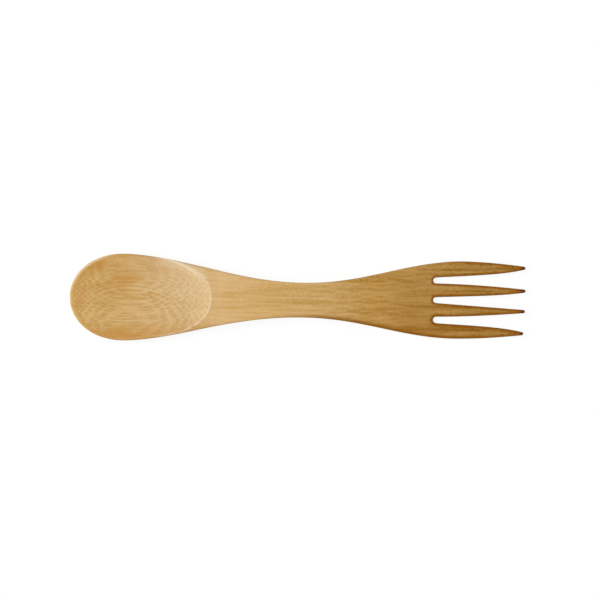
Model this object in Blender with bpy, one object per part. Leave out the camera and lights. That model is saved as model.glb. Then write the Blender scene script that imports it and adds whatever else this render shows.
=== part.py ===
"""A bamboo spoon and fork in one piece, carved from a single strip of culm wall.

The utensil lies along X on the plane z = 0, spoon at -X and fork at +X, and is made as the real one is:
its plan is sawn, the two faces are carved to their heights, the spoon is hollowed and every edge rounded.
All sizes are in metres. A station is a distance from the tip of the spoon, measured along X, and an
offset is a distance from the X axis, with a sign.
"""

import math

import bmesh
import bpy
import numpy as np
from mathutils.geometry import delaunay_2d_cdt

# Plan of the blank: widths, and the stations where they are measured
LENGTH = 0.1650
BOWL_WIDTH = 0.0314
BOWL_WIDEST = 0.0194
NECK_WIDTH = 0.0126
NECK_STATION = 0.0842
FORK_WIDTH = 0.0281
FORK_WIDEST_SETBACK = 0.0236  # back from the tips of the tines
HANDLE_SWAY = 0.0006  # how far the hand-sawn handle wanders towards -Y

# Character of the plan's curves
BOWL_SQUARENESS = 2.08  # 2 is a true ellipse, more is blunter
SPOON_SHOULDER = 0.89  # under 1 the width changes early, over 1 late
FORK_SHOULDER = 1.05

# Slots, sawn by hand and so a little uneven, from -Y to +Y
TINE_LENGTH = 0.0334
SLOT_OFFSETS = (-0.0073, -0.0001, 0.0070)  # at the root
SLOT_WIDTHS = (0.0023, 0.0020, 0.0021)  # at the root

# Tines, from -Y to +Y
TINE_TIP_WIDTH = 0.0012
TIP_OFFSETS = (-0.0120, -0.0040, 0.0034, 0.0117)
TIP_SETBACKS = (0.0007, 0.0002, 0.0, 0.0001)  # how much shorter than the longest
TIP_CURLS = (0.4, 0.0, 0.4, 0.4)  # share of the inner side's narrowing that comes near the tip
TINE_BOW = 1.75  # power of the outer side's curve, where 1 is straight
CURL_POWER = 5

# Heights
BOWL_WALL = 0.0021  # under the deepest point of the hollow
BOWL_DEPTH = 0.0037
RIM_THICKNESS = 0.0016
RIM_LIFT = 0.0007  # how far the rim rises towards the tip
HANDLE_THICKNESS = 0.0042
ARCH_HEIGHT = 0.0048  # free height under the neck
FORK_THICKNESS = 0.0030
HEEL_SETBACK = 0.0320  # the fork is lowest this far back from the tips
TINE_TIP_THICKNESS = 0.0014
TINE_TIP_LIFT = 0.0036  # free height under the tips
FLAT_CUT = 0.0002  # taken off the underside where it stands
CROWN_RADIUS = 0.25  # the handle and fork keep the round of the culm across their upper face

# Carving
HOLLOW_DEEPEST = 0.0270
HOLLOW_END = 0.0510  # where the hollow runs out on the handle, in a crisp arc
HOLLOW_BLUNTNESS = 2.4  # of that arc, where 2 is a true ellipse
BELLY_END = 0.0760  # where the spoon's round underside has become the handle's flat one
BELLY_POWER = 2.2
EDGE_RADIUS = 0.0008
THIN_EDGE_SHARE = 0.42  # the most that one rounding takes of a thin edge

# Fineness of the faces
OUTLINE_STEP = 0.0016
FACE_STEP = 0.0024
ARC_STEPS = 8
EDGE_STEPS = 2

BAMBOO_COLOUR = (0.55, 0.33, 0.12, 1.0)
BAMBOO_ROUGHNESS = 0.55

FORK_WIDEST = LENGTH - FORK_WIDEST_SETBACK
HEEL = LENGTH - HEEL_SETBACK
SLOT_ROOT = LENGTH - TINE_LENGTH
TIP_RADIUS = TINE_TIP_WIDTH / 2
TIP_CENTRES = [LENGTH - TIP_RADIUS - setback for setback in TIP_SETBACKS]
RIM_HEIGHT = BOWL_WALL + BOWL_DEPTH
NECK_HEIGHT = ARCH_HEIGHT + HANDLE_THICKNESS
TIP_HEIGHT = TINE_TIP_LIFT + TINE_TIP_THICKNESS


def between(station, start, end):
    """How far a station lies from start to end, from 0 to 1."""
    return np.clip((station - start) / (end - start), 0, 1)


def ease(share):
    """A smooth rise from 0 to 1, level at both ends."""
    return (1 - np.cos(np.pi * share)) / 2


def stations(start, end):
    """Evenly spaced stations from start to end, both included."""
    return np.linspace(start, end, max(3, round(abs(end - start) / OUTLINE_STEP) + 1))


def arc(station, offset, radius, start, end):
    """Points on an arc round a centre, from one angle to another, in degrees."""
    angles = np.radians(np.linspace(start, end, ARC_STEPS + 1))
    return np.column_stack([station + radius * np.cos(angles), offset + radius * np.sin(angles)])


def half_width(station):
    """Half the width of the blank, from the tip of the spoon to the fork's widest station."""
    ahead = 1 - between(station, 0, BOWL_WIDEST)
    front = BOWL_WIDTH / 2 * (1 - ahead**BOWL_SQUARENESS) ** (1 / BOWL_SQUARENESS)
    to_neck = ease(between(station, BOWL_WIDEST, NECK_STATION) ** SPOON_SHOULDER)
    to_fork = ease(between(station, NECK_STATION, FORK_WIDEST) ** FORK_SHOULDER)
    return front + (NECK_WIDTH - BOWL_WIDTH) / 2 * to_neck + (FORK_WIDTH - NECK_WIDTH) / 2 * to_fork


def middle(station):
    """The offset of the handle's middle line."""
    return -HANDLE_SWAY * np.sin(np.pi * between(station, HOLLOW_END, FORK_WIDEST))


def bowl_front():
    """The blunt front of the spoon, from its +Y side round to its -Y side, both ends left out."""
    around = np.radians(np.linspace(90, -90, 4 * ARC_STEPS + 1))[1:-1]
    bend = 2 / BOWL_SQUARENESS
    along = BOWL_WIDEST * (1 - np.cos(around) ** bend)
    return np.column_stack([along, BOWL_WIDTH / 2 * np.sign(around) * np.abs(np.sin(around)) ** bend])


def blank_edge(tine, side):
    """One long edge of the blank, from the bowl's widest station to the tip of its outer tine."""
    handle = stations(BOWL_WIDEST, FORK_WIDEST)[:-1]
    fork = stations(FORK_WIDEST, TIP_CENTRES[tine])[:-1]
    narrowing = between(fork, FORK_WIDEST, TIP_CENTRES[tine]) ** TINE_BOW
    tip_edge = TIP_OFFSETS[tine] + side * TIP_RADIUS
    along_fork = side * FORK_WIDTH / 2 + (tip_edge - side * FORK_WIDTH / 2) * narrowing
    across = np.concatenate([middle(handle) + side * half_width(handle), along_fork])
    return np.column_stack([np.concatenate([handle, fork]), across])


def slot_side(slot, tine, side):
    """One side of a slot, which is one side of a tine, from the slot's root to the tine's tip."""
    radius = SLOT_WIDTHS[slot] / 2
    along = stations(SLOT_ROOT + radius, TIP_CENTRES[tine])[1:-1]
    share = between(along, SLOT_ROOT, TIP_CENTRES[tine])
    if side * TIP_OFFSETS[tine] > 0:
        narrowing = share**TINE_BOW
    else:
        narrowing = share + TIP_CURLS[tine] * (share**CURL_POWER - share)
    root_edge = SLOT_OFFSETS[slot] - side * radius
    tip_edge = TIP_OFFSETS[tine] + side * TIP_RADIUS
    return np.column_stack([along, root_edge + (tip_edge - root_edge) * narrowing])


def slot_outline(slot):
    """A slot between two tines, from the tip of the one on its -Y side to the tip of the other."""
    radius = SLOT_WIDTHS[slot] / 2
    root = arc(SLOT_ROOT + radius, SLOT_OFFSETS[slot], radius, 270, 90)
    return [slot_side(slot, slot, 1)[::-1], root, slot_side(slot, slot + 1, -1)]


def tine_tip(tine):
    """The round end of a tine, from its -Y side to its +Y side."""
    return arc(TIP_CENTRES[tine], TIP_OFFSETS[tine], TIP_RADIUS, -90, 90)


def plan_outline():
    """The whole outline as stations and offsets, counter-clockwise."""
    last = len(TIP_OFFSETS) - 1
    runs = [blank_edge(0, -1), tine_tip(0)]
    for slot in range(len(SLOT_OFFSETS)):
        runs += [*slot_outline(slot), tine_tip(slot + 1)]
    runs += [blank_edge(last, 1)[::-1], bowl_front()]
    return np.concatenate(runs)


def hollow_half_width(station):
    """Half the width of the hollow, which follows the rim in front and crosses the handle behind."""
    ahead = 1 - between(station, EDGE_RADIUS, BOWL_WIDEST)
    behind = between(station, BOWL_WIDEST, HOLLOW_END)
    front = (1 - ahead**BOWL_SQUARENESS) ** (1 / BOWL_SQUARENESS)
    back = (1 - behind**HOLLOW_BLUNTNESS) ** (1 / HOLLOW_BLUNTNESS)
    return (BOWL_WIDTH / 2 - EDGE_RADIUS) * front * back


def hollow_outline():
    """The edge of the hollow, all round."""
    around = np.radians(np.linspace(0, 360, 8 * ARC_STEPS, endpoint=False))
    reach = np.where(np.cos(around) < 0, BOWL_WIDEST - EDGE_RADIUS, HOLLOW_END - BOWL_WIDEST)
    along = BOWL_WIDEST + reach * np.cos(around)
    return np.column_stack([along, np.sign(np.sin(around)) * hollow_half_width(along)])


def hollow_depth(station, offset):
    """How deep the spoon is hollowed at each point."""
    fore = between(station, HOLLOW_DEEPEST, EDGE_RADIUS)
    aft = between(station, HOLLOW_DEEPEST, HOLLOW_END)
    outwards = np.abs(offset) / np.maximum(hollow_half_width(station), EDGE_RADIUS)
    return BOWL_DEPTH * (1 - fore**2 - aft**2) * np.clip(1 - outwards**2, 0, 1)


def face_height(station):
    """Height of the upper face along the middle, before the spoon is hollowed."""
    to_tip = RIM_LIFT * (1 - between(station, 0, BOWL_WIDEST)) ** 2
    to_neck = (NECK_HEIGHT - RIM_HEIGHT) * ease(between(station, BOWL_WIDEST, NECK_STATION))
    to_heel = (FORK_THICKNESS - NECK_HEIGHT) * ease(between(station, NECK_STATION, HEEL))
    to_tines = (TIP_HEIGHT - FORK_THICKNESS) * between(station, HEEL, LENGTH) ** 2
    return RIM_HEIGHT + to_tip + to_neck + to_heel + to_tines


def keel_height(station):
    """Height of the underside along the middle, before it is sanded flat where it stands."""
    tip_rise = RIM_HEIGHT + RIM_LIFT - RIM_THICKNESS + FLAT_CUT
    to_tip = tip_rise * (1 - between(station, 0, HOLLOW_DEEPEST)) ** 2
    to_neck = ease(between(station, HOLLOW_DEEPEST, NECK_STATION))
    to_heel = ease(between(station, NECK_STATION, HEEL))
    to_tines = (TINE_TIP_LIFT + FLAT_CUT) * between(station, HEEL, LENGTH) ** 2
    return to_tip + (ARCH_HEIGHT + FLAT_CUT) * (to_neck - to_heel) + to_tines - FLAT_CUT


def underside_height(station, offset):
    """Height of the underside: round under the spoon and flat across the handle and fork."""
    keel = keel_height(station)
    thickness = face_height(station) - keel
    spooned = 1 - ease(between(station, BOWL_WIDEST, BELLY_END))
    outwards = np.abs(offset - middle(station)) / np.maximum(half_width(station), EDGE_RADIUS)
    turned_up = (thickness - RIM_THICKNESS) * spooned * np.minimum(outwards, 1) ** BELLY_POWER
    return np.maximum(keel + turned_up, 0)


def upper_height(station, offset):
    """Height of the upper face: hollowed at the spoon, slightly crowned along the handle and fork."""
    crown = offset**2 / (2 * CROWN_RADIUS) * ease(between(station, BOWL_WIDEST, HOLLOW_END))
    return face_height(station) - crown - hollow_depth(station, offset)


def rounding(inwards, thickness):
    """How far a face falls at a rounded edge, at a distance inwards from the outline."""
    radius = np.minimum(EDGE_RADIUS, THIN_EDGE_SHARE * thickness)
    return radius * (1 - np.sqrt(1 - (1 - between(inwards, 0, EDGE_RADIUS)) ** 2))


def distance_to(points, loop):
    """Each point's distance from a closed loop of points."""
    nearest = np.full(len(points), np.inf)
    for start, run in zip(loop, np.roll(loop, -1, axis=0) - loop, strict=True):
        share = np.clip((points - start) @ run / (run @ run), 0, 1)
        nearest = np.minimum(nearest, np.linalg.norm(points - start - share[:, None] * run, axis=1))
    return nearest


def inset(loop, depth):
    """The loop moved inwards, and which of its points still keep that depth all round."""
    along = np.roll(loop, -1, axis=0) - np.roll(loop, 1, axis=0)
    inwards = np.column_stack([-along[:, 1], along[:, 0]])
    moved = loop + depth * inwards / np.linalg.norm(inwards, axis=1)[:, None]
    return moved, distance_to(moved, loop) > 0.98 * depth


def face_grid(outline, hollow):
    """Staggered points over the faces, clear of the rounded edges and of the hollow's edge."""
    row_step = FACE_STEP * math.sqrt(3) / 2
    rows = np.arange(-BOWL_WIDTH / 2, BOWL_WIDTH / 2, row_step)
    columns = np.arange(0, LENGTH, FACE_STEP)
    grid = np.array([(x + FACE_STEP / 2 * (row % 2), y) for row, y in enumerate(rows) for x in columns])
    clear = distance_to(grid, outline) > EDGE_RADIUS + FACE_STEP / 3
    return grid[clear & (distance_to(grid, hollow) > FACE_STEP / 3)]


def plan_mesh():
    """The plan as triangles: their corners, and the three corners of each."""
    outline, hollow = plan_outline(), hollow_outline()
    corners = [outline, hollow]
    size = len(outline)
    links = [(i, (i + 1) % size) for i in range(size)]
    links += [(size + i, size + (i + 1) % len(hollow)) for i in range(len(hollow))]
    size += len(hollow)
    for step in range(1, EDGE_STEPS + 1):
        loop, kept = inset(outline, EDGE_RADIUS * (1 - math.cos(math.pi / 2 * step / EDGE_STEPS)))
        kept &= distance_to(loop, hollow) > EDGE_RADIUS / 4
        place = size + np.cumsum(kept) - 1
        both = np.flatnonzero(kept & np.roll(kept, -1))
        links += [(int(place[i]), int(place[(i + 1) % len(kept)])) for i in both]
        corners.append(loop[kept])
        size += int(kept.sum())
    corners += [np.column_stack([TIP_CENTRES, TIP_OFFSETS]), face_grid(outline, hollow)]
    points, _, faces, *_ = delaunay_2d_cdt(
        np.concatenate(corners).tolist(), links, [list(range(len(outline)))], 1, 1e-6
    )
    return np.array(points), faces


def place(verts, heights):
    """Gives each corner its height and its place in the utensil's own frame."""
    for vert, height in zip(verts, heights, strict=True):
        vert.co.x -= LENGTH / 2
        vert.co.z = height


def carved_mesh():
    """The utensil as one closed mesh: the sawn plan, thickened and carved on both faces."""
    points, faces = plan_mesh()
    body = bmesh.new()
    corners = [body.verts.new((*point, 0)) for point in points]
    for face in faces:
        body.faces.new([corners[corner] for corner in face])
    loose = [vert for vert in body.verts if not vert.link_faces]
    bmesh.ops.delete(body, geom=loose, context="VERTS")
    lower = body.verts[:]
    raised = bmesh.ops.extrude_face_region(body, geom=body.faces[:])["geom"]
    upper = [element for element in raised if isinstance(element, bmesh.types.BMVert)]
    outline = plan_outline()
    for verts, on_top in ((lower, False), (upper, True)):
        spots = np.array([vert.co.xy for vert in verts])
        station, offset = spots.T
        top, bottom = upper_height(station, offset), underside_height(station, offset)
        fall = rounding(distance_to(spots, outline), top - bottom)
        place(verts, top - fall if on_top else bottom + fall)
    bmesh.ops.recalc_face_normals(body, faces=body.faces)
    mesh = bpy.data.meshes.new("spoon_fork")
    body.to_mesh(mesh)
    body.free()
    return mesh


def bamboo():
    """Sanded, unlacquered bamboo."""
    material = bpy.data.materials.new("sanded_bamboo")
    material.use_nodes = True
    surface = material.node_tree.nodes["Principled BSDF"]
    surface.inputs["Base Color"].default_value = BAMBOO_COLOUR
    surface.inputs["Roughness"].default_value = BAMBOO_ROUGHNESS
    surface.inputs["Metallic"].default_value = 0.0
    return material


def main():
    for old in list(bpy.data.objects):
        bpy.data.objects.remove(old)
    collection = bpy.data.collections.new("bamboo_spoon_and_fork")
    bpy.context.scene.collection.children.link(collection)
    utensil = bpy.data.objects.new("spoon_fork", carved_mesh())
    utensil.data.materials.append(bamboo())
    utensil.data.shade_smooth()
    utensil.data.set_sharp_from_angle(angle=math.radians(40))
    collection.objects.link(utensil)


main()
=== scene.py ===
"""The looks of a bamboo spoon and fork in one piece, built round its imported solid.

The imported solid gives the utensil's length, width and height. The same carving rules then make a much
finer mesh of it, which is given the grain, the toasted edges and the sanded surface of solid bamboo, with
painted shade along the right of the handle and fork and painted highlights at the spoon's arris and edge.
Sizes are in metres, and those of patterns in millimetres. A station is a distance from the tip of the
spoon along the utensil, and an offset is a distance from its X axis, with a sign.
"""

import logging
import math
from dataclasses import dataclass, field, fields
from enum import Enum

import bpy
import numpy as np
from bpy.types import Material, Mesh, Node, NodeOutputs, NodeSocket, NodeTree, Object
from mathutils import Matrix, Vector
from mathutils.geometry import delaunay_2d_cdt


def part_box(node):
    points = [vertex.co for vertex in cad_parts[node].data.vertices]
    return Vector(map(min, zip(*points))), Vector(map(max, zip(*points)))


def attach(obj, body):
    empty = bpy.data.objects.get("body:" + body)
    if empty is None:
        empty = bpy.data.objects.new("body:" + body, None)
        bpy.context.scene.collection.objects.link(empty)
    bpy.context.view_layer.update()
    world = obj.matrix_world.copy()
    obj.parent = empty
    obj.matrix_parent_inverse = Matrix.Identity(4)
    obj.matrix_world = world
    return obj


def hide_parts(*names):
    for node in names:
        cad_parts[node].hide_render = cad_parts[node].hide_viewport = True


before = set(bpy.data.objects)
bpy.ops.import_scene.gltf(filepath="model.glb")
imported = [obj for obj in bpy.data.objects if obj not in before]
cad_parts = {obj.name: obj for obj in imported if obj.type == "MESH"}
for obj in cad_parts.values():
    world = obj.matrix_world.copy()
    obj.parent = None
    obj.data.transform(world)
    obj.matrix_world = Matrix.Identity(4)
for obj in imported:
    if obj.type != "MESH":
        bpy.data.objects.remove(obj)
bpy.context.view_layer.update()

NODE = "spoon_fork"
BODY = "root"
MM_PER_M = 1000.0

log = logging.getLogger("utensil")

# What feeds a node's input, and the named ones that a material's parts share
Source = Node | NodeSocket
Values = dict[str, Source]


class Layer(Enum):
    """The values kept on the mesh: two heights in metres, then three lengths in millimetres."""

    UPPER = "upper_height"
    LOWER = "lower_height"
    FACE = "face_mm"
    INWARDS = "inwards_mm"
    RIM_GAP = "rim_gap_mm"


class Side(Enum):
    """The two long sides of the utensil, as the sign of their offset."""

    RIGHT = -1
    LEFT = 1


def linear(code: str) -> tuple[float, float, float, float]:
    """Turns an sRGB colour into the linear values that Blender's sockets take.

    Args:
        code: The colour as six hex digits after a hash.

    Returns:
        Red, green and blue in linear light, and an alpha of 1.
    """
    shares = [int(code[i : i + 2], 16) / 255 for i in (1, 3, 5)]
    # The numbers are those of the sRGB standard's curve
    red, green, blue = (s / 12.92 if s <= 0.04045 else ((s + 0.055) / 1.055) ** 2.4 for s in shares)
    return red, green, blue, 1.0


def add_node(tree: NodeTree, kind: str, links: dict | None = None, **settings: str | bool) -> Node:
    """Adds a node with its settings, and links or sets its inputs.

    Args:
        tree: The tree that gets the node.
        kind: Blender's name for the kind of node.
        links: What each input takes, by its name or number: a node's first output, an output, or a value.
        settings: The node's properties, by name.

    Returns:
        The new node.
    """
    node = tree.nodes.new(kind)
    for name, value in settings.items():
        setattr(node, name, value)
    for name, source in (links or {}).items():
        if isinstance(source, Node):
            tree.links.new(source.outputs[0], node.inputs[name])
        elif isinstance(source, NodeSocket):
            tree.links.new(source, node.inputs[name])
        else:
            node.inputs[name].default_value = source
    return node


def between(value: np.ndarray, start: float, end: float) -> np.ndarray:
    """Gives how far each value lies from start to end, from 0 to 1."""
    return np.clip((value - start) / (end - start), 0, 1)


def ease(share: np.ndarray) -> np.ndarray:
    """Turns each share from 0 to 1 into a smooth rise from 0 to 1, level at both ends."""
    return (1 - np.cos(np.pi * share)) / 2


@dataclass(frozen=True)
class Tine:
    """One tine, by its tip: where it lies, how much it is sawn short, and how it narrows to it."""

    tip_offset: float
    setback: float
    curl: float


@dataclass(frozen=True)
class Slot:
    """The sawn slot between two tines, by its round root."""

    offset: float
    width: float


@dataclass
class Blank:
    """The plan of the utensil, as it is sawn from a strip of bamboo."""

    length: float
    bowl_width: float
    bowl_widest: float = 0.0194
    bowl_squareness: float = 2.08
    neck_width: float = 0.0126
    neck_station: float = 0.0842
    fork_width: float = 0.0281
    fork_widest_setback: float = 0.0236
    spoon_shoulder: float = 0.89
    fork_shoulder: float = 1.05
    handle_sway: float = 0.0006
    sway_start: float = 0.0510
    tine_length: float = 0.0334
    tip_width: float = 0.0012
    tine_bow: float = 1.75
    curl_power: float = 5.0
    slots: tuple[Slot, ...] = (Slot(-0.0073, 0.0023), Slot(-0.0001, 0.0020), Slot(0.0070, 0.0021))
    tines: tuple[Tine, ...] = (
        Tine(-0.0120, 0.0007, 0.4),
        Tine(-0.0040, 0.0002, 0.0),
        Tine(0.0034, 0.0, 0.4),
        Tine(0.0117, 0.0001, 0.4),
    )
    outline_step: float = 0.0005
    arc_steps: int = 14
    front_density: int = 2  # points round the spoon's front, for each step across its width

    @property
    def fork_widest(self) -> float:
        """The station where the fork is widest."""
        return self.length - self.fork_widest_setback

    @property
    def slot_root(self) -> float:
        """The station where the slots end."""
        return self.length - self.tine_length

    def tip_centre(self, tine: Tine) -> float:
        """The station of the middle of a tine's round tip."""
        return self.length - self.tip_width / 2 - tine.setback

    def tip_edge(self, tine: Tine, side: Side) -> float:
        """The offset of one side of a tine where its round tip starts."""
        return tine.tip_offset + side.value * self.tip_width / 2

    def stations(self, start: float, end: float) -> np.ndarray:
        """Gives evenly spaced stations from start to end, both included."""
        return np.linspace(start, end, max(3, round(abs(end - start) / self.outline_step) + 1))

    def half_width(self, station: np.ndarray) -> np.ndarray:
        """Gives half the width of the blank, up to the fork's widest station.

        Args:
            station: Where it is wanted.

        Returns:
            Half the width at each station.
        """
        ahead = 1 - between(station, 0, self.bowl_widest)
        front = self.bowl_width / 2 * (1 - ahead**self.bowl_squareness) ** (1 / self.bowl_squareness)
        to_neck = ease(between(station, self.bowl_widest, self.neck_station) ** self.spoon_shoulder)
        to_fork = ease(between(station, self.neck_station, self.fork_widest) ** self.fork_shoulder)
        narrowing = (self.neck_width - self.bowl_width) / 2 * to_neck
        return front + narrowing + (self.fork_width - self.neck_width) / 2 * to_fork

    def middle(self, station: np.ndarray) -> np.ndarray:
        """Gives the offset of the handle's middle line at each station."""
        return -self.handle_sway * np.sin(np.pi * between(station, self.sway_start, self.fork_widest))

    def arc(self, station: float, offset: float, radius: float, start: float, end: float) -> np.ndarray:
        """Gives points on an arc round a centre, one row each, from one angle to another in degrees."""
        angles = np.radians(np.linspace(start, end, self.arc_steps + 1))
        return np.column_stack([station + radius * np.cos(angles), offset + radius * np.sin(angles)])

    def bowl_front(self) -> np.ndarray:
        """Gives the blunt front of the spoon, from its left side round to its right, ends left out.

        Returns:
            The points, one row each.
        """
        steps = self.front_density * round(self.bowl_width / self.outline_step)
        around = np.radians(np.linspace(90, -90, steps + 1))[1:-1]
        bend = 2 / self.bowl_squareness
        along = self.bowl_widest * (1 - np.cos(around) ** bend)
        across = self.bowl_width / 2 * np.sign(around) * np.abs(np.sin(around)) ** bend
        return np.column_stack([along, across])

    def long_edge(self, tine: Tine, side: Side) -> np.ndarray:
        """Gives one long edge, from the bowl's widest station to the tip of its outer tine.

        Args:
            tine: The outer tine on that side.
            side: Which edge.

        Returns:
            The points, one row each.
        """
        handle = self.stations(self.bowl_widest, self.fork_widest)[:-1]
        fork = self.stations(self.fork_widest, self.tip_centre(tine))[:-1]
        narrowing = between(fork, self.fork_widest, self.tip_centre(tine)) ** self.tine_bow
        widest = side.value * self.fork_width / 2
        along_handle = self.middle(handle) + side.value * self.half_width(handle)
        along_fork = widest + (self.tip_edge(tine, side) - widest) * narrowing
        along = np.concatenate([handle, fork])
        return np.column_stack([along, np.concatenate([along_handle, along_fork])])

    def slot_side(self, slot: Slot, tine: Tine, side: Side) -> np.ndarray:
        """Gives one side of a slot, from its root to the tip of the tine whose side it is.

        Args:
            slot: The slot.
            tine: The tine beside it.
            side: Which side of that tine.

        Returns:
            The points, one row each.
        """
        along = self.stations(self.slot_root + slot.width / 2, self.tip_centre(tine))[1:-1]
        share = between(along, self.slot_root, self.tip_centre(tine))
        if side.value * tine.tip_offset > 0:
            narrowing = share**self.tine_bow
        else:
            narrowing = share + tine.curl * (share**self.curl_power - share)
        root_edge = slot.offset - side.value * slot.width / 2
        return np.column_stack([along, root_edge + (self.tip_edge(tine, side) - root_edge) * narrowing])

    def outline(self) -> np.ndarray:
        """Gives the whole outline, counter-clockwise.

        Returns:
            The points, one row each.
        """
        runs = [self.long_edge(self.tines[0], Side.RIGHT)]
        for number, tine in enumerate(self.tines):
            runs.append(self.arc(self.tip_centre(tine), tine.tip_offset, self.tip_width / 2, -90, 90))
            if number < len(self.slots):
                slot = self.slots[number]
                runs.append(self.slot_side(slot, tine, Side.LEFT)[::-1])
                runs.append(self.arc(self.slot_root + slot.width / 2, slot.offset, slot.width / 2, 270, 90))
                runs.append(self.slot_side(slot, self.tines[number + 1], Side.RIGHT))
        runs += [self.long_edge(self.tines[-1], Side.LEFT)[::-1], self.bowl_front()]
        return np.concatenate(runs)


@dataclass
class Carving:
    """The heights of the two carved faces, the hollow of the spoon and the rounded edges."""

    blank: Blank
    neck_height: float
    bowl_wall: float = 0.0021
    bowl_depth: float = 0.0037
    rim_thickness: float = 0.0016
    rim_lift: float = 0.0007
    handle_thickness: float = 0.0042
    fork_thickness: float = 0.0030
    heel_setback: float = 0.0320
    tip_thickness: float = 0.0014
    tip_lift: float = 0.0036
    flat_cut: float = 0.0002
    crown_radius: float = 0.25
    hollow_deepest: float = 0.0270
    hollow_end: float = 0.0510
    hollow_bluntness: float = 2.4
    belly_end: float = 0.0760
    belly_power: float = 2.2
    edge_radius: float = 0.0008
    thin_edge_share: float = 0.42
    arris_softness: float = 0.00005
    hollow_density: int = 4  # points round the hollow's edge, for each step along it

    @property
    def rim_height(self) -> float:
        """How high the spoon's rim lies at its lowest."""
        return self.bowl_wall + self.bowl_depth

    @property
    def arch_height(self) -> float:
        """The free height under the neck."""
        return self.neck_height - self.handle_thickness

    @property
    def heel(self) -> float:
        """The station where the fork is lowest."""
        return self.blank.length - self.heel_setback

    def hollow_half_width(self, station: np.ndarray) -> np.ndarray:
        """Gives half the width of the spoon's hollow.

        Args:
            station: Where it is wanted.

        Returns:
            Half the width at each station, and 0 past the hollow's ends.
        """
        blank = self.blank
        ahead = 1 - between(station, self.edge_radius, blank.bowl_widest)
        behind = between(station, blank.bowl_widest, self.hollow_end)
        front = (1 - ahead**blank.bowl_squareness) ** (1 / blank.bowl_squareness)
        back = (1 - behind**self.hollow_bluntness) ** (1 / self.hollow_bluntness)
        return (blank.bowl_width / 2 - self.edge_radius) * front * back

    def hollow_outline(self) -> np.ndarray:
        """Gives the edge of the hollow, all round.

        Returns:
            The points, one row each.
        """
        blank = self.blank
        steps = round(self.hollow_density * self.hollow_end / blank.outline_step)
        around = np.linspace(0, 2 * np.pi, steps, endpoint=False)
        ahead, behind = blank.bowl_widest - self.edge_radius, self.hollow_end - blank.bowl_widest
        along = blank.bowl_widest + np.cos(around) * np.where(np.cos(around) < 0, ahead, behind)
        return np.column_stack([along, np.sign(np.sin(around)) * self.hollow_half_width(along)])

    def hollow_depth(self, station: np.ndarray, offset: np.ndarray) -> np.ndarray:
        """Gives how deep the spoon is hollowed.

        Args:
            station: The points' stations.
            offset: The points' offsets.

        Returns:
            The depth at each point, 0 outside the hollow.
        """
        fore = between(station, self.hollow_deepest, self.edge_radius)
        aft = between(station, self.hollow_deepest, self.hollow_end)
        outwards = np.abs(offset) / np.maximum(self.hollow_half_width(station), self.edge_radius)
        return self.bowl_depth * (1 - fore**2 - aft**2) * np.clip(1 - outwards**2, 0, 1)

    def face_height(self, station: np.ndarray) -> np.ndarray:
        """Gives the height of the upper face along the middle, before the spoon is hollowed.

        Args:
            station: Where it is wanted.

        Returns:
            The height at each station.
        """
        blank = self.blank
        to_tip = self.rim_lift * (1 - between(station, 0, blank.bowl_widest)) ** 2
        to_neck = ease(between(station, blank.bowl_widest, blank.neck_station))
        to_heel = ease(between(station, blank.neck_station, self.heel))
        to_tines = between(station, self.heel, blank.length) ** 2
        rise = (self.neck_height - self.rim_height) * to_neck
        fall = (self.fork_thickness - self.neck_height) * to_heel
        tines = (self.tip_lift + self.tip_thickness - self.fork_thickness) * to_tines
        return self.rim_height + to_tip + rise + fall + tines

    def keel_height(self, station: np.ndarray) -> np.ndarray:
        """Gives the height of the underside along the middle, before it is sanded flat where it stands.

        Args:
            station: Where it is wanted.

        Returns:
            The height at each station.
        """
        blank = self.blank
        tip_rise = self.rim_height + self.rim_lift - self.rim_thickness + self.flat_cut
        to_tip = tip_rise * (1 - between(station, 0, self.hollow_deepest)) ** 2
        to_neck = ease(between(station, self.hollow_deepest, blank.neck_station))
        to_heel = ease(between(station, blank.neck_station, self.heel))
        to_tines = (self.tip_lift + self.flat_cut) * between(station, self.heel, blank.length) ** 2
        arch = (self.arch_height + self.flat_cut) * (to_neck - to_heel)
        return to_tip + arch + to_tines - self.flat_cut

    def lower_height(self, station: np.ndarray, offset: np.ndarray) -> np.ndarray:
        """Gives the height of the underside: round under the spoon, flat across handle and fork.

        Args:
            station: The points' stations.
            offset: The points' offsets.

        Returns:
            The height at each point.
        """
        blank = self.blank
        keel = self.keel_height(station)
        spooned = 1 - ease(between(station, blank.bowl_widest, self.belly_end))
        half = np.maximum(blank.half_width(station), self.edge_radius)
        outwards = np.minimum(np.abs(offset - blank.middle(station)) / half, 1)
        over_rim = self.face_height(station) - keel - self.rim_thickness
        return np.maximum(keel + over_rim * spooned * outwards**self.belly_power, 0)

    def upper_height(self, station: np.ndarray, offset: np.ndarray, gap: np.ndarray) -> np.ndarray:
        """Gives the height of the upper face: hollowed at the spoon, slightly crowned elsewhere.

        Args:
            station: The points' stations.
            offset: The points' offsets.
            gap: How far each point lies outside the hollow's edge.

        Returns:
            The height at each point, with the arris round the hollow sanded soft.
        """
        past_bowl = ease(between(station, self.blank.bowl_widest, self.hollow_end))
        crown = offset**2 / (2 * self.crown_radius) * past_bowl
        wall_slope = 2 * self.bowl_depth / (self.hollow_end - self.hollow_deepest)
        depth = np.where(gap > 0, -wall_slope * gap, self.hollow_depth(station, offset))
        softened = (depth + np.sqrt(depth**2 + self.arris_softness**2)) / 2
        return self.face_height(station) - crown - softened

    def rounding(self, inwards: np.ndarray, thickness: np.ndarray) -> np.ndarray:
        """Gives how far a face falls at its rounded edge, at points that far inwards and that thick."""
        radius = np.minimum(self.edge_radius, self.thin_edge_share * thickness)
        return radius * (1 - np.sqrt(1 - (1 - between(inwards, 0, self.edge_radius)) ** 2))


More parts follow.
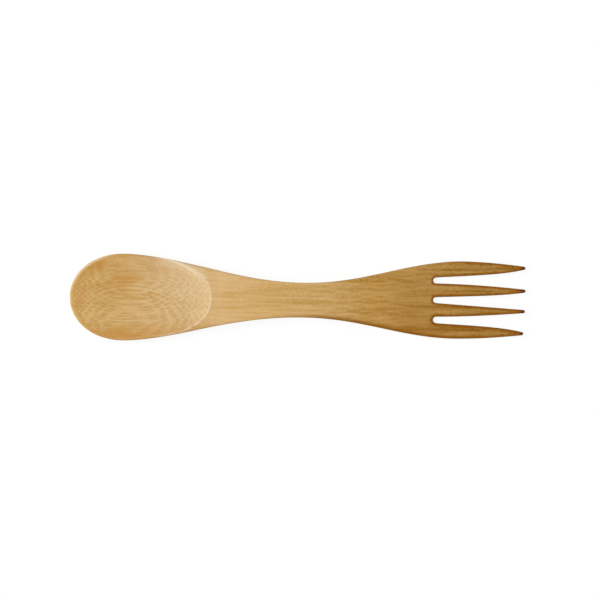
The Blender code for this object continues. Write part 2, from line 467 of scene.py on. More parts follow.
@dataclass
class Plan:
    """The plan divided into fine triangles, with the values that the carving and the finish read."""

    carving: Carving
    face_step: float = 0.00052
    edge_steps: int = 5
    grid_clearance: float = face_step / 3
    loop_clearance: float = face_step / 4
    kept_depth: float = 0.98  # the share of its depth that a point moved inwards has to keep
    weld_distance: float = 1e-7
    search_widths: int = 4  # how far from a loop its distance is first looked for, in bowl widths

    def distance_to(self, points: np.ndarray, loop: np.ndarray) -> np.ndarray:
        """Gives each point's distance from a closed loop.

        Args:
            points: The points, one row each.
            loop: The loop's corners, one row each.

        Returns:
            One distance for each point.
        """
        nearest = np.full(len(points), np.inf)
        reach = self.search_widths * self.carving.blank.bowl_width
        for start, run in zip(loop, np.roll(loop, -1, axis=0) - loop, strict=True):
            near = np.abs(points[:, 0] - start[0]) < np.minimum(nearest, reach) + np.abs(run[0])
            away = points[near] - start
            share = np.clip(away @ run / (run @ run), 0, 1)
            found = np.linalg.norm(away - share[:, None] * run, axis=1)
            nearest[near] = np.minimum(nearest[near], found)
        return nearest

    def inset(self, loop: np.ndarray, depth: float) -> np.ndarray:
        """Moves a loop inwards and drops the points that no longer keep that depth.

        Args:
            loop: The loop's corners, one row each.
            depth: How far it moves.

        Returns:
            The points that are left.
        """
        along = np.roll(loop, -1, axis=0) - np.roll(loop, 1, axis=0)
        inwards = np.column_stack([-along[:, 1], along[:, 0]])
        moved = loop + depth * inwards / np.linalg.norm(inwards, axis=1)[:, None]
        return moved[self.distance_to(moved, loop) > self.kept_depth * depth]

    def grid(self, outline: np.ndarray, hollow: np.ndarray) -> np.ndarray:
        """Gives staggered points over the faces, clear of the outline's edge loops and the hollow's edge.

        Args:
            outline: The outline's corners.
            hollow: The corners of the hollow's edge.

        Returns:
            The points, one row each.
        """
        blank = self.carving.blank
        rows = np.arange(-blank.bowl_width / 2, blank.bowl_width / 2, self.face_step * math.sqrt(3) / 2)
        columns = np.arange(0, blank.length, self.face_step)
        x, y = np.meshgrid(columns, rows)
        x = x + self.face_step / 2 * (np.arange(len(rows)) % 2)[:, None]
        points = np.column_stack([x.ravel(), y.ravel()])
        clear = self.distance_to(points, outline) > self.carving.edge_radius + self.grid_clearance
        return points[clear & (self.distance_to(points, hollow) > self.grid_clearance)]

    def triangles(self) -> tuple[np.ndarray, list[list[int]]]:
        """Divides the plan into triangles.

        Returns:
            The corners, one row each, and the three corners of every triangle.
        """
        outline, hollow = self.carving.blank.outline(), self.carving.hollow_outline()
        corners = [outline, hollow]
        links = [(i, (i + 1) % len(outline)) for i in range(len(outline))]
        links += [(len(outline) + i, len(outline) + (i + 1) % len(hollow)) for i in range(len(hollow))]
        for step in range(1, self.edge_steps + 1):
            depth = self.carving.edge_radius * (1 - math.cos(math.pi / 2 * step / self.edge_steps))
            loop = self.inset(outline, depth)
            corners.append(loop[self.distance_to(loop, hollow) > self.loop_clearance])
        corners.append(self.grid(outline, hollow))
        inside_only, body = 1, [list(range(len(outline)))]
        points, _, faces, *_ = delaunay_2d_cdt(
            np.concatenate(corners).tolist(), links, body, inside_only, self.weld_distance
        )
        return np.array(points), faces

    def mesh(self) -> Mesh:
        """Makes the flat plan as a mesh that carries a value for each layer.

        Returns:
            The mesh, in the plane z = 0 and in the utensil's own frame.
        """
        blank, carving = self.carving.blank, self.carving
        points, faces = self.triangles()
        used = np.unique(np.array(faces))
        place = np.zeros(len(points), int)
        place[used] = np.arange(len(used))
        points = points[used]
        station, offset = points.T
        hollow = carving.hollow_outline()
        inwards = self.distance_to(points, blank.outline())
        inside = np.abs(offset) < carving.hollow_half_width(station)
        gap = self.distance_to(points, hollow) * np.where(inside, -1, 1)
        top, bottom = carving.upper_height(station, offset, gap), carving.lower_height(station, offset)
        fall = carving.rounding(inwards, top - bottom)
        layers = {
            Layer.UPPER: top - fall,
            Layer.LOWER: bottom + fall,
            Layer.FACE: carving.face_height(station) * MM_PER_M,
            Layer.INWARDS: inwards * MM_PER_M,
            Layer.RIM_GAP: gap * MM_PER_M,
        }
        flat = np.column_stack([station - blank.length / 2, offset, np.zeros(len(station))])
        mesh = bpy.data.meshes.new("plan")
        mesh.from_pydata(flat.tolist(), [], [[int(place[corner]) for corner in face] for face in faces])
        for layer, values in layers.items():
            attribute = mesh.attributes.new(layer.value, "FLOAT", "POINT")
            attribute.data.foreach_set("value", values.astype(np.float32))
        return mesh


@dataclass
class HandSanding:
    """The Geometry Nodes that give the plan its two faces and leave the marks of sanding on them.

    Every mark is a cut into the surface, so the utensil never grows past its carved size.
    """

    blank_thickness: float = 0.001
    weld_distance: float = 0.000001
    wave_depth: float = 0.00007
    wave_length: float = 0.011
    scallop_depth: float = 0.00004
    scallop_length: float = 0.0021
    seed: float = 7.0
    fade_mm: float = 1.5  # how far from an edge the marks reach their full depth

    def inputs(self) -> dict[str, float]:
        """Gives the tree's sizes by the names of its inputs, such as Wave Depth for wave_depth."""
        sizes = (size.name for size in fields(self) if size.name != "fade_mm")
        return {name.replace("_", " ").title(): getattr(self, name) for name in sizes}

    def tree(self) -> NodeTree:
        """Builds the tree, with named inputs for its sizes.

        Returns:
            The node tree.
        """
        tree = bpy.data.node_groups.new("hand_sanding", "GeometryNodeTree")
        sockets = tree.interface
        sockets.new_socket("Geometry", in_out="OUTPUT", socket_type="NodeSocketGeometry")
        sockets.new_socket("Geometry", in_out="INPUT", socket_type="NodeSocketGeometry")
        for name in self.inputs():
            sockets.new_socket(name, in_out="INPUT", socket_type="NodeSocketFloat")
        sockets.new_socket("Finish", in_out="INPUT", socket_type="NodeSocketMaterial")
        given = add_node(tree, "NodeGroupInput").outputs
        carved = self.carve(tree, given, self.close(tree, given))
        waved = self.mark(tree, given, carved, "Wave", Layer.INWARDS, self.fade_mm)
        scalloped = self.mark(tree, given, waved, "Scallop", Layer.RIM_GAP, -self.fade_mm)
        smooth = add_node(tree, "GeometryNodeSetShadeSmooth", {"Geometry": scalloped})
        real = add_node(tree, "GeometryNodeRealizeInstances", {"Geometry": smooth})
        dressed = add_node(tree, "GeometryNodeSetMaterial", {"Geometry": real, "Material": given["Finish"]})
        add_node(tree, "NodeGroupOutput", {"Geometry": dressed})
        return tree

    def close(self, tree: NodeTree, given: NodeOutputs) -> Node:
        """Turns the flat plan into a closed slab.

        Args:
            tree: The tree that gets the nodes.
            given: The tree's inputs.

        Returns:
            The node that gives the slab.
        """
        raised = add_node(
            tree,
            "GeometryNodeExtrudeMesh",
            {
                "Mesh": given["Geometry"],
                "Offset": Vector((0, 0, 1)),
                "Offset Scale": given["Blank Thickness"],
                "Individual": False,
            },
            mode="FACES",
        )
        underside = add_node(tree, "GeometryNodeFlipFaces", {"Mesh": given["Geometry"]})
        both = add_node(tree, "GeometryNodeJoinGeometry", {"Geometry": underside})
        tree.links.new(raised.outputs["Mesh"], both.inputs["Geometry"])
        welding = {"Geometry": both, "Distance": given["Weld Distance"]}
        return add_node(tree, "GeometryNodeMergeByDistance", welding)

    def carve(self, tree: NodeTree, given: NodeOutputs, body: Node) -> Node:
        """Moves each corner of the slab to the height of its own face.

        Args:
            tree: The tree that gets the nodes.
            given: The tree's inputs.
            body: The node that gives the slab.

        Returns:
            The node that gives the carved body.
        """
        place = add_node(tree, "GeometryNodeInputPosition")
        x, y, z = add_node(tree, "ShaderNodeSeparateXYZ", {0: place}).outputs
        half = add_node(tree, "ShaderNodeMath", {0: given["Blank Thickness"], 1: 0.5}, operation="MULTIPLY")
        is_upper = add_node(tree, "FunctionNodeCompare", {0: z, 1: half}, operation="GREATER_THAN")
        lower, upper = (
            add_node(tree, "GeometryNodeInputNamedAttribute", {"Name": layer.value}, data_type="FLOAT")
            for layer in (Layer.LOWER, Layer.UPPER)
        )
        choice = {"Switch": is_upper, "False": lower, "True": upper}
        height = add_node(tree, "GeometryNodeSwitch", choice, input_type="FLOAT")
        target = add_node(tree, "ShaderNodeCombineXYZ", {0: x, 1: y, 2: height})
        return add_node(tree, "GeometryNodeSetPosition", {"Geometry": body, "Position": target})

    def mark(
        self, tree: NodeTree, given: NodeOutputs, body: Node, kind: str, edge: Layer, fade_mm: float
    ) -> Node:
        """Cuts uneven marks into the surface.

        Args:
            tree: The tree that gets the nodes.
            given: The tree's inputs.
            body: The node that gives the body.
            kind: The first word of the inputs for the marks' depth and length.
            edge: The layer that is 0 where the marks start.
            fade_mm: That layer's value where they reach their full depth.

        Returns:
            The node that gives the marked body.
        """
        place = add_node(tree, "GeometryNodeInputPosition")
        length = given[f"{kind} Length"]
        per_length = add_node(tree, "ShaderNodeMath", {0: 1.0, 1: length}, operation="DIVIDE")
        pattern = {"Vector": place, "W": given["Seed"], "Scale": per_length, "Detail": 1.0}
        uneven = add_node(tree, "ShaderNodeTexNoise", pattern, noise_dimensions="4D")
        away = add_node(tree, "GeometryNodeInputNamedAttribute", {"Name": edge.value}, data_type="FLOAT")
        reach = {"Value": away, "From Min": 0.0, "From Max": fade_mm}
        fade = add_node(tree, "ShaderNodeMapRange", reach, interpolation_type="SMOOTHSTEP")
        cut = -1.0
        for factor in (uneven, given[f"{kind} Depth"], fade):
            cut = add_node(tree, "ShaderNodeMath", {0: factor, 1: cut}, operation="MULTIPLY")
        normal = add_node(tree, "GeometryNodeInputNormal")
        shift = add_node(tree, "ShaderNodeVectorMath", {0: normal, "Scale": cut}, operation="SCALE")
        return add_node(tree, "GeometryNodeSetPosition", {"Geometry": body, "Offset": shift})

    def apply(self, plan: Mesh, finish: Material, name: str) -> Object:
        """Runs the tree on the plan and keeps its result as a plain mesh.

        Args:
            plan: The flat plan.
            finish: The material of the result.
            name: The name of the finished piece.

        Returns:
            The finished piece, at the origin.
        """
        piece = bpy.data.objects.new(name, plan)
        bpy.context.scene.collection.objects.link(piece)
        modifier = piece.modifiers.new("hand_sanding", "NODES")
        modifier.node_group = self.tree()
        values = {**self.inputs(), "Finish": finish}
        for item in modifier.node_group.interface.items_tree:
            if item.in_out == "INPUT" and item.name in values:
                modifier[item.identifier] = values[item.name]
        evaluated = piece.evaluated_get(bpy.context.evaluated_depsgraph_get())
        result = bpy.data.meshes.new_from_object(evaluated)
        result.name = name
        piece.modifiers.clear()
        piece.data = result
        return piece


class Tone(Enum):
    """The colours laid over the bamboo: its own warm tone, the toast, scorch and sanding that working left,
    and the painted shade and painted highlights that some of them also give.
    """

    CARAMEL = "#C4842C"
    # Sanded pale, also used for painted highlights and a painted sheen on the spoon
    SANDED = "#E6CDA6"
    # The pale of the arris: its pale fibres, and a painted highlight along it
    ARRIS = "#F4E4CC"
    # Toast, also used for painted shade along the right side of the handle and fork
    TOASTED = "#8D5500"
    SCORCHED = "#5A2000"


@dataclass(frozen=True)
class Fade:
    """A change that follows a value: where it starts and ends, and how strong it is before and after."""

    reads: str
    start: float
    end: float
    after: float = 1.0
    before: float = 0.0

    def range(self, values: Values) -> dict[str, Source | float]:
        """Gives the inputs of a Map Range node by name, reading from the named values."""
        spans = {"From Min": self.start, "From Max": self.end, "To Min": self.before, "To Max": self.after}
        return {"Value": values[self.reads], **spans}


@dataclass(frozen=True)
class Mark:
    """A kind of mark in the grain, and how much it darkens the level faces and the hollow.

    Its size is a mark's length along the fibres and its width. A rare one shows where its noise lies
    between two values or past them, and the others come and go evenly.
    """

    name: str
    on_faces: float
    in_hollow: float
    size_mm: tuple[float, float] | None = None
    rare: tuple[float, float] | None = None
    detail: float = 1.0
    seed: float = 0.0

    @property
    def darkening(self) -> Fade:
        """How dark it gets as its noise rises."""
        return Fade(self.name, *self.rare) if self.rare else Fade(self.name, 0.0, 1.0, 0.5, -0.5)


@dataclass(frozen=True)
class Sum:
    """A value that washes read, made of one value and so much of each of some others."""

    name: str
    base: str
    parts: tuple[tuple[str, float], ...]


@dataclass(frozen=True)
class Wash:
    """A colour laid over the bamboo where all its fades meet."""

    name: str
    tone: Tone
    fades: tuple[Fade, ...]


@dataclass(frozen=True)
class SandedBamboo:
    """Solid bamboo, carved from the culm wall and sanded, left without oil or lacquer.

    Vascular bundles run the length of the strip through paler ground tissue. A face that runs along them
    shows long soft streaks, and the walls of the hollow cut across them and show their ends as specks.
    The heat of sanding has toasted the thin edges, and most of all the tines. Painted shade darkens the right
    side of the fork and the right edge of the handle, and painted highlights pale the arris and the face
    beside it, the left edge of the spoon's tip and, with a sheen, the hollow's wall towards the handle.

    What the fades, the marks and the sums read is share (of the length), offset, inwards (from the
    outline) and gap (outside the hollow's edge) in millimetres, hollow (1 inside it), cut (0 where the
    surface runs along the fibres, 1 where it cuts well across them), and each mark and sum by its name.
    """

    # The ground tissue from the tip of the spoon to the tips of the tines, by share of the length
    tones: tuple[tuple[float, str], ...] = (
        (0.00, "#D5A964"),
        (0.08, "#CBA463"),
        (0.17, "#CAA56C"),
        (0.25, "#C39F69"),
        (0.33, "#D2AC73"),
        (0.44, "#C9A162"),
        (0.55, "#C69E60"),
        (0.66, "#BD8F4A"),
        (0.77, "#AA7E3D"),
        (0.87, "#9D7232"),
        (1.00, "#94682B"),
    )
    # What one full share of grain multiplies the ground by: blue falls most, so dark grain is golden
    grain_tint: str = "#E7D99E"
    grain_start: float = -0.35
    # Bundles stand staggered, this far apart across the strip and through its thickness. Real ones are
    # about 1 mm apart, and these are drawn coarser, as wide as they need to be to show
    bundle_mm: tuple[float, float] = (1.8, 0.50)
    bundle_unevenness: float = 0.46
    bundle_edge: tuple[float, float] = (0.58, 0.14)
    # Single fibres are far too fine to show, so each mark stands for a sheaf of them
    marks: tuple[Mark, ...] = (
        Mark("bundles", 0.45, 0.78),
        Mark("fibres", 1.10, 0.30, (30.0, 0.85)),
        Mark("pores", 1.25, 1.42, (1.1, 0.75)),
        Mark("flecks", 0.60, 0.30, (4.5, 0.8), rare=(0.72, 0.80)),
        Mark("streaks", 0.66, 0.15, (48.0, 2.3), rare=(0.47, 0.64), detail=2.0, seed=25.9),
        Mark("patches", 0.10, 0.30, (13.0, 6.5), rare=(0.45, 0.70), detail=2.0, seed=40.7),
    )
    # How far the fibres wander sideways, over what lengths along, across and below
    wander_mm: float = 0.6
    drift_mm: tuple[float, float, float] = (40.0, 12.0, 9.0)
    # How much of the face's arch the fibres follow, and how far they dip towards the tip of the spoon
    grain_follow: float = 0.72
    fibre_dip: Fade = Fade("share", 0.24, 0.03, 1.35)
    # The grain shows more and more from the spoon to the fork, and again on the tines
    figure_to_fork: Fade = Fade("share", 0.30, 0.58, 1.24, 0.54)
    figure_on_tines: Fade = Fade("share", 0.76, 0.86, 1.9, 1.0)
    # Off the upper face, where the normal's height falls, the gap grows past all that reads it
    turned_away: Fade = Fade("facing", 0.3, 0.0, 30.0)
    in_hollow: Fade = Fade("gap", 0.0, -0.6)
    cut_across: Fade = Fade("steepness", 0.02, 0.22)
    # The grain frays the rim's pale lines, partly painted highlight, and the toasted edges, on the right
    # partly painted shade, two limits run aslant, and the scorch starts sooner where a tip is thin
    sums: tuple[Sum, ...] = (
        Sum("frayed", "gap", (("bundles", 0.25), ("pores", 0.9))),
        Sum("uneven", "inwards", (("flecks", 1.2),)),
        Sum("right_of_slant", "offset", (("share", -60.0),)),
        Sum("left_of_slant", "offset", (("share", 170.0),)),
        Sum("inside_rim", "gap", (("share", 14.5), ("pores", 0.5))),
        Sum("towards_tip", "share", (("inwards", -0.016),)),
    )
    # Each lies over the ones before it
    washes: tuple[Wash, ...] = (
        Wash(
            "warm patches at the front of the hollow",
            Tone.CARAMEL,
            (Fade("patches", 0.43, 0.66, 0.34), Fade("hollow", 0.0, 1.0), Fade("share", 0.20, 0.12)),
        ),
        Wash(
            "right of the spoon",
            Tone.CARAMEL,
            (Fade("offset", -7.0, -14.0, 0.34), Fade("share", 0.34, 0.20)),
        ),
        Wash(
            "left of the spoon",
            Tone.CARAMEL,
            (Fade("offset", 3.0, 11.0, 0.20), Fade("share", 0.34, 0.20)),
        ),
        # Sanded pale on the left; towards the handle, where the wall faces the light, partly a painted sheen
        Wash(
            "hollow, sanded palest on its left and towards the handle",
            Tone.SANDED,
            (Fade("frayed", 0.6, -0.4), Fade("left_of_slant", 28.0, 56.0, 0.34)),
        ),
        # Rubbed pale, and a painted highlight where the rounded edge faces the light
        Wash(
            "left edge of the spoon's tip, rubbed pale",
            Tone.SANDED,
            (Fade("inwards", 1.15, 0.3, 0.66), Fade("offset", 3.0, 5.5), Fade("share", 0.10, 0.06)),
        ),
        # Sanding once more, and a painted highlight on the narrow face beside the arris
        Wash(
            "both sides of the arris on the left, sanded once more",
            Tone.SANDED,
            (
                Fade("gap", 3.0, 0.5, 0.44),
                Fade("gap", -3.6, -1.6),
                Fade("offset", 3.5, 8.5),
                Fade("share", 0.17, 0.22),
                Fade("share", 0.34, 0.28),
            ),
        ),
        Wash(
            "second line inside the arris on the left",
            Tone.ARRIS,
            (
                Fade("inside_rim", 2.85, 3.20, 0.5),
                Fade("inside_rim", 3.85, 3.50),
                Fade("offset", 5.0, 8.0),
                Fade("share", 0.18, 0.21),
                Fade("share", 0.30, 0.27),
            ),
        ),
        # Pale fibres and a painted highlight along the arris round the back of the hollow, where its rounded
        # crest catches the light
        Wash(
            "arris round the back of the hollow",
            Tone.ARRIS,
            (
                Fade("frayed", 0.9, 0.55),
                Fade("frayed", -0.05, 0.45, 0.52),
                Fade("share", 0.17, 0.24),
                Fade("pores", 0.20, 0.60),
            ),
        ),
        # Painted shade: the fork darker towards its right side
        Wash(
            "right of the fork",
            Tone.TOASTED,
            (Fade("offset", -6.0, -13.0, 0.14), Fade("share", 0.60, 0.74)),
        ),
        # Toast on the edges of the tines, and on the right edge before them toast with painted shade, where
        # that edge turns away from the light
        Wash(
            "edges of the tines, and the right edge before them",
            Tone.TOASTED,
            (
                Fade("uneven", 1.90, 1.15),
                Fade("inwards", -0.45, 0.45),
                Fade("share", 0.30, 0.88),
                Fade("right_of_slant", -33.2, -41.2, 0.82),
            ),
        ),
        # Painted shade: a wide dark band along the right edge of the handle, where it turns away from the
        # light
        Wash(
            "right edge of the handle, in a wide band",
            Tone.TOASTED,
            (
                Fade("uneven", 2.9, 0.6, 0.75),
                Fade("offset", -3.5, -6.0),
                Fade("share", 0.40, 0.62),
                Fade("share", 0.92, 0.78),
            ),
        ),
        Wash(
            "specks along the edges of the tines",
            Tone.SCORCHED,
            (Fade("pores", 0.54, 0.68, 0.45), Fade("inwards", 1.6, 0.5), Fade("share", 0.80, 0.92)),
        ),
        Wash("tips of the tines", Tone.SCORCHED, (Fade("towards_tip", 0.970, 0.9925, 0.85),)),
    )
    roughness: tuple[float, float] = (0.46, 0.64)
    ior: float = 1.5
    specular: float = 0.07
    relief_mm: float = 0.022
    # How much of the relief is the bundles', on the faces and where they are cut across, and the fibres'
    bundle_relief: Fade = Fade("cut", 0.0, 1.0, 0.8, 0.2)
    fibre_relief: float = 0.5

    def material(self, blank: Blank) -> Material:
        """Builds the material.

        Args:
            blank: The plan, for the utensil's length.

        Returns:
            The material.
        """
        material = bpy.data.materials.new("sanded_bamboo")
        material.use_nodes = True
        tree = material.node_tree
        tree.nodes.clear()
        values = self.place(tree, blank)
        for mark in self.marks:
            values[mark.name] = self.noise(tree, values, mark) if mark.size_mm else self.bundles(tree, values)
        for total in self.sums:
            values[total.name] = values[total.base]
            for part, factor in total.parts:
                terms = {0: values[part], 1: factor, 2: values[total.name]}
                values[total.name] = add_node(tree, "ShaderNodeMath", terms, operation="MULTIPLY_ADD")
        least, most = self.roughness
        dryness = {"Value": values["fibres"], "To Min": least, "To Max": most}
        finish = {
            "Base Color": self.worked_colour_and_painted_light(tree, values, self.grain_colour(tree, values)),
            "Roughness": add_node(tree, "ShaderNodeMapRange", dryness),
            "Normal": self.relief(tree, values),
            "IOR": self.ior,
            "Specular IOR Level": self.specular,
        }
        add_node(tree, "ShaderNodeOutputMaterial", {0: add_node(tree, "ShaderNodeBsdfPrincipled", finish)})
        return material

    def place(self, tree: NodeTree, blank: Blank) -> Values:
        """Finds each point's place on the utensil and in the grain.

        Args:
            tree: The tree that gets the nodes.
            blank: The plan, for the utensil's length.

        Returns:
            The values that the class names, and figure (how strongly the grain is drawn) and grain
            (millimetres along, across and below the strip's face).
        """
        coordinate = add_node(tree, "ShaderNodeTexCoord").outputs
        metres = {0: coordinate["Object"], "Scale": MM_PER_M}
        in_mm = add_node(tree, "ShaderNodeVectorMath", metres, operation="SCALE")
        along, offset, height = add_node(tree, "ShaderNodeSeparateXYZ", {0: in_mm}).outputs
        tilt, _, facing = add_node(tree, "ShaderNodeSeparateXYZ", {0: coordinate["Normal"]}).outputs
        half = blank.length / 2 * MM_PER_M
        whole = {"Value": along, "From Min": -half, "From Max": half}
        face, inwards, gap = (
            add_node(tree, "ShaderNodeAttribute", attribute_name=layer.value).outputs["Fac"]
            for layer in (Layer.FACE, Layer.INWARDS, Layer.RIM_GAP)
        )
        values = {
            "share": add_node(tree, "ShaderNodeMapRange", whole),
            "offset": offset,
            "inwards": inwards,
            "facing": facing,
            "steepness": add_node(tree, "ShaderNodeMath", {0: tilt}, operation="ABSOLUTE"),
        }
        turned_away = add_node(tree, "ShaderNodeMapRange", self.turned_away.range(values))
        values["gap"] = add_node(tree, "ShaderNodeMath", {0: gap, 1: turned_away}, operation="ADD")
        on_tines = add_node(tree, "ShaderNodeMapRange", self.figure_on_tines.range(values))
        values["hollow"], values["cut"], to_fork, dip = (
            add_node(tree, "ShaderNodeMapRange", fade.range(values), interpolation_type="SMOOTHSTEP")
            for fade in (self.in_hollow, self.cut_across, self.figure_to_fork, self.fibre_dip)
        )
        on_faces = add_node(tree, "ShaderNodeMath", {0: to_fork, 1: on_tines}, operation="MULTIPLY")
        figure = {0: values["hollow"], 1: on_faces}
        values["figure"] = add_node(tree, "ShaderNodeMath", figure, operation="MAXIMUM")
        arched = {0: face, 1: self.grain_follow, 2: dip}
        strip_face = add_node(tree, "ShaderNodeMath", arched, operation="MULTIPLY_ADD")
        below = add_node(tree, "ShaderNodeMath", {0: strip_face, 1: height}, operation="SUBTRACT")
        straight = add_node(tree, "ShaderNodeCombineXYZ", {0: along, 1: offset, 2: below})
        per_drift = Vector([1 / size for size in self.drift_mm])
        slow = add_node(tree, "ShaderNodeMapping", {"Vector": in_mm, "Scale": per_drift})
        drift = add_node(tree, "ShaderNodeTexNoise", {"Vector": slow, "Scale": 1.0, "Detail": 1.0})
        wandering = {0: drift.outputs["Color"], 1: Vector((0, self.wander_mm, self.wander_mm / 2))}
        sideways = add_node(tree, "ShaderNodeVectorMath", wandering, operation="MULTIPLY")
        values["grain"] = add_node(tree, "ShaderNodeVectorMath", {0: straight, 1: sideways}, operation="ADD")
        return values

    def noise(self, tree: NodeTree, values: Values, mark: Mark) -> Node:
        """Adds a mark's noise, drawn out along the fibres.

        Args:
            tree: The tree that gets the nodes.
            values: The values found so far.
            mark: The kind of mark.

        Returns:
            The node that gives the noise, from 0 to 1.
        """
        length, width = mark.size_mm
        drawn = {
            "Vector": values["grain"],
            "Location": Vector([mark.seed] * 3),
            "Scale": Vector((1 / length, 1 / width, 1 / width)),
        }
        marks = add_node(tree, "ShaderNodeMapping", drawn)
        pattern = {"Vector": marks, "Scale": 1.0, "Detail": mark.detail, "Roughness": 0.5}
        return add_node(tree, "ShaderNodeTexNoise", pattern)

    def bundles(self, tree: NodeTree, values: Values) -> Node:
        """Adds the vascular bundles, each round its own line through the strip.

        The lines stand staggered, as on a lattice turned by 45 degrees and then pressed flat.

        Args:
            tree: The tree that gets the nodes.
            values: The values found so far.

        Returns:
            The node that gives how much of a bundle each point holds, from 0 to 1.
        """
        _, across, below = add_node(tree, "ShaderNodeSeparateXYZ", {0: values["grain"]}).outputs
        pressed = {
            "Vector": add_node(tree, "ShaderNodeCombineXYZ", {0: across, 1: below}),
            "Scale": Vector([*(math.sqrt(2) / size for size in self.bundle_mm), 1]),
            "Rotation": Vector((0, 0, math.pi / 4)),
        }
        lattice = add_node(tree, "ShaderNodeMapping", pressed)
        spread = {"Vector": lattice, "Scale": 1.0, "Randomness": self.bundle_unevenness}
        nearest = add_node(tree, "ShaderNodeTexVoronoi", spread, voronoi_dimensions="2D")
        edge = Fade("distance", *self.bundle_edge).range({"distance": nearest.outputs["Distance"]})
        return add_node(tree, "ShaderNodeMapRange", edge, interpolation_type="SMOOTHSTEP")

    def grain_colour(self, tree: NodeTree, values: Values) -> NodeSocket:
        """Mixes the colour of untouched bamboo.

        Args:
            tree: The tree that gets the nodes.
            values: All that the class names.

        Returns:
            The colour.
        """
        ramp = add_node(tree, "ShaderNodeValToRGB", {"Fac": values["share"]})
        stops = ramp.color_ramp.elements
        while len(stops) < len(self.tones):
            stops.new(1.0)
        for stop, (position, tone) in zip(stops, self.tones, strict=True):
            stop.position = position
            stop.color = linear(tone)
        grain = self.grain_start
        for mark in self.marks:
            by_region = Fade("hollow", 0.0, 1.0, mark.in_hollow, mark.on_faces)
            darkening, strength = (
                add_node(tree, "ShaderNodeMapRange", fade.range(values))
                for fade in (mark.darkening, by_region)
            )
            terms = {0: darkening, 1: strength, 2: grain}
            grain = add_node(tree, "ShaderNodeMath", terms, operation="MULTIPLY_ADD")
        shown = add_node(tree, "ShaderNodeMath", {0: grain, 1: values["figure"]}, operation="MULTIPLY")
        inks = {"Factor": shown, 6: ramp, 7: linear(self.grain_tint)}
        printing = {"data_type": "RGBA", "blend_type": "MULTIPLY", "clamp_factor": False}
        return add_node(tree, "ShaderNodeMix", inks, **printing).outputs[2]

    def worked_colour_and_painted_light(self, tree: NodeTree, values: Values, colour: NodeSocket) -> NodeSocket:
        """Lays what sawing, hollowing and sanding did to the surface, with painted shade and painted
        highlights, over the bamboo's own colour.

        Args:
            tree: The tree that gets the nodes.
            values: All that the class names.
            colour: The colour of untouched bamboo.

        Returns:
            The colour.
        """
        for wash in self.washes:
            factor = 1.0
            for fade in wash.fades:
                span = fade.range(values)
                share = add_node(tree, "ShaderNodeMapRange", span, interpolation_type="SMOOTHSTEP")
                factor = add_node(tree, "ShaderNodeMath", {0: factor, 1: share}, operation="MULTIPLY")
            layer = {"Factor": factor, 6: colour, 7: linear(wash.tone.value)}
            colour = add_node(tree, "ShaderNodeMix", layer, data_type="RGBA", label=wash.name).outputs[2]
        return colour

    def relief(self, tree: NodeTree, values: Values) -> Node:
        """Raises the fibres, and most the bundles where they are cut across in the hollow.

        Args:
            tree: The tree that gets the nodes.
            values: All that the class names.

        Returns:
            The node that gives the normal.
        """
        share = add_node(tree, "ShaderNodeMapRange", self.bundle_relief.range(values))
        bundles = add_node(tree, "ShaderNodeMath", {0: values["bundles"], 1: share}, operation="MULTIPLY")
        terms = {0: values["fibres"], 1: self.fibre_relief, 2: bundles}
        height = add_node(tree, "ShaderNodeMath", terms, operation="MULTIPLY_ADD")
        raised = {"Height": height, "Distance": self.relief_mm / MM_PER_M, "Strength": 1.0}
        return add_node(tree, "ShaderNodeBump", raised)


@dataclass
class Utensil:
    """The spoon and fork, carved from one strip."""

    carving: Carving
    sanding: HandSanding = field(default_factory=HandSanding)
    finish: SandedBamboo = field(default_factory=SandedBamboo)

    def build(self) -> Object:
        """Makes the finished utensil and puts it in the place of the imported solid.

        Returns:
            The finished piece.
        """
        plan = Plan(self.carving).mesh()
        material = self.finish.material(self.carving.blank)
        piece = self.sanding.apply(plan, material, "carved_spoon_fork")
        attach(piece, BODY)
        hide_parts(NODE)
        return piece


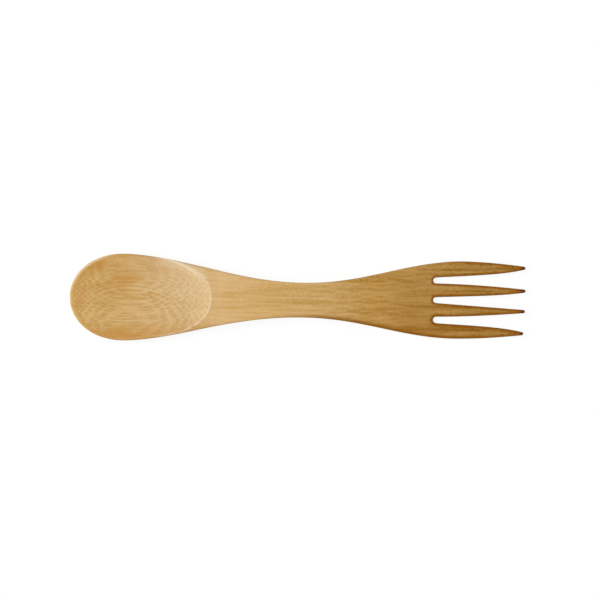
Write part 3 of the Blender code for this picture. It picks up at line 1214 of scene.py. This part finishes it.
@dataclass
class Studio:
    """A white table in soft light from the upper left, seen from straight above."""

    frame_px: float = 600.0
    mm_per_px: float = 0.36208
    middle_px: tuple[float, float] = (297.85, 298.6)
    roll_deg: float = 0.502
    lens_mm: float = 200.0
    sensor_mm: float = 36.0
    focus_height: float = 0.0055
    key_elevation_deg: float = 54.0
    key_azimuth_deg: float = 174.0
    key_softness_deg: float = 28.0
    key_share: float = 0.50
    floor_size: float = 3.0
    white: str = "#FFFFFF"
    # The card as other surfaces see it, and as the camera does: lit, and of itself
    card: str = "#D8D8D8"
    card_lit: str = "#626262"
    card_own_light: float = 0.89

    def camera(self) -> Object:
        """Hangs the camera over the table.

        Returns:
            The camera.
        """
        data = bpy.data.cameras.new("overhead")
        data.sensor_width = self.sensor_mm
        data.lens = self.lens_mm
        camera = bpy.data.objects.new("overhead", data)
        width = self.frame_px * self.mm_per_px / MM_PER_M
        along = (self.frame_px / 2 - self.middle_px[0]) * self.mm_per_px / MM_PER_M
        across = (self.middle_px[1] - self.frame_px / 2) * self.mm_per_px / MM_PER_M
        height = self.focus_height + width * self.lens_mm / self.sensor_mm
        camera.location = (along, across, height)
        camera.rotation_euler = (0, 0, math.radians(self.roll_deg))
        bpy.context.scene.collection.objects.link(camera)
        bpy.context.scene.camera = camera
        return camera

    def floor(self) -> Object:
        """Lays the white table top.

        Returns:
            The table top.
        """
        mesh = bpy.data.meshes.new("table_top")
        reach = self.floor_size / 2
        corners = [(-reach, -reach, 0), (reach, -reach, 0), (reach, reach, 0), (-reach, reach, 0)]
        mesh.from_pydata(corners, [], [(0, 1, 2, 3)])
        top = bpy.data.objects.new("table_top", mesh)
        bpy.context.scene.collection.objects.link(top)
        mesh.materials.append(self.white_card())
        return top

    def white_card(self) -> Material:
        """Makes matt white card, which the camera sees as white with a faint shadow.

        Returns:
            The material.
        """
        material = bpy.data.materials.new("white_card")
        material.use_nodes = True
        tree = material.node_tree
        tree.nodes.clear()
        rays = add_node(tree, "ShaderNodeLightPath").outputs
        either = {0: rays["Is Camera Ray"], 1: rays["Is Glossy Ray"]}
        seen = add_node(tree, "ShaderNodeMath", either, operation="MAXIMUM")
        lit = add_node(tree, "ShaderNodeBsdfDiffuse", {"Color": linear(self.card_lit)})
        glow = {"Color": linear(self.white), "Strength": self.card_own_light}
        own = add_node(tree, "ShaderNodeEmission", glow)
        shown = add_node(tree, "ShaderNodeAddShader", {0: lit, 1: own})
        plain = add_node(tree, "ShaderNodeBsdfDiffuse", {"Color": linear(self.card)})
        card = add_node(tree, "ShaderNodeMixShader", {0: seen, 1: plain, 2: shown})
        add_node(tree, "ShaderNodeOutputMaterial", {"Surface": card})
        return material

    def light(self) -> None:
        """Sets one soft lamp and an even surround, so that level surfaces show their own colour."""
        data = bpy.data.lights.new("key", "SUN")
        elevation, azimuth = math.radians(self.key_elevation_deg), math.radians(self.key_azimuth_deg)
        data.energy = math.pi * self.key_share / math.sin(elevation)
        data.angle = math.radians(self.key_softness_deg)
        key = bpy.data.objects.new("key", data)
        level = math.cos(elevation)
        towards = Vector((level * math.cos(azimuth), level * math.sin(azimuth), math.sin(elevation)))
        key.rotation_euler = towards.to_track_quat("Z", "Y").to_euler()
        bpy.context.scene.collection.objects.link(key)
        world = bpy.data.worlds.new("surround")
        bpy.context.scene.world = world
        world.use_nodes = True
        tree = world.node_tree
        tree.nodes.clear()
        rays = add_node(tree, "ShaderNodeLightPath").outputs
        either = {0: rays["Is Camera Ray"], 1: rays["Is Transmission Ray"]}
        seen = add_node(tree, "ShaderNodeMath", either, operation="MAXIMUM")
        levels = {"Value": seen, "To Min": 1 - self.key_share, "To Max": 1.0}
        strength = add_node(tree, "ShaderNodeMapRange", levels)
        even = {"Color": linear(self.white), "Strength": strength}
        add_node(tree, "ShaderNodeOutputWorld", {"Surface": add_node(tree, "ShaderNodeBackground", even)})

    def build(self) -> None:
        """Sets up the camera, the table, the light and the plain view transform."""
        self.camera()
        self.floor()
        self.light()
        bpy.context.scene.view_settings.view_transform = "Standard"


def main() -> None:
    """Builds the utensil and the studio."""
    logging.basicConfig(level=logging.INFO, format="%(name)s: %(message)s")
    low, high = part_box(NODE)
    blank = Blank(length=high.x - low.x, bowl_width=high.y - low.y)
    piece = Utensil(Carving(blank, neck_height=high.z)).build()
    log.info("%s: %d faces", piece.name, len(piece.data.polygons))
    Studio().build()
    log.info("studio: camera, table and light")


if __name__ == "__main__":
    main()
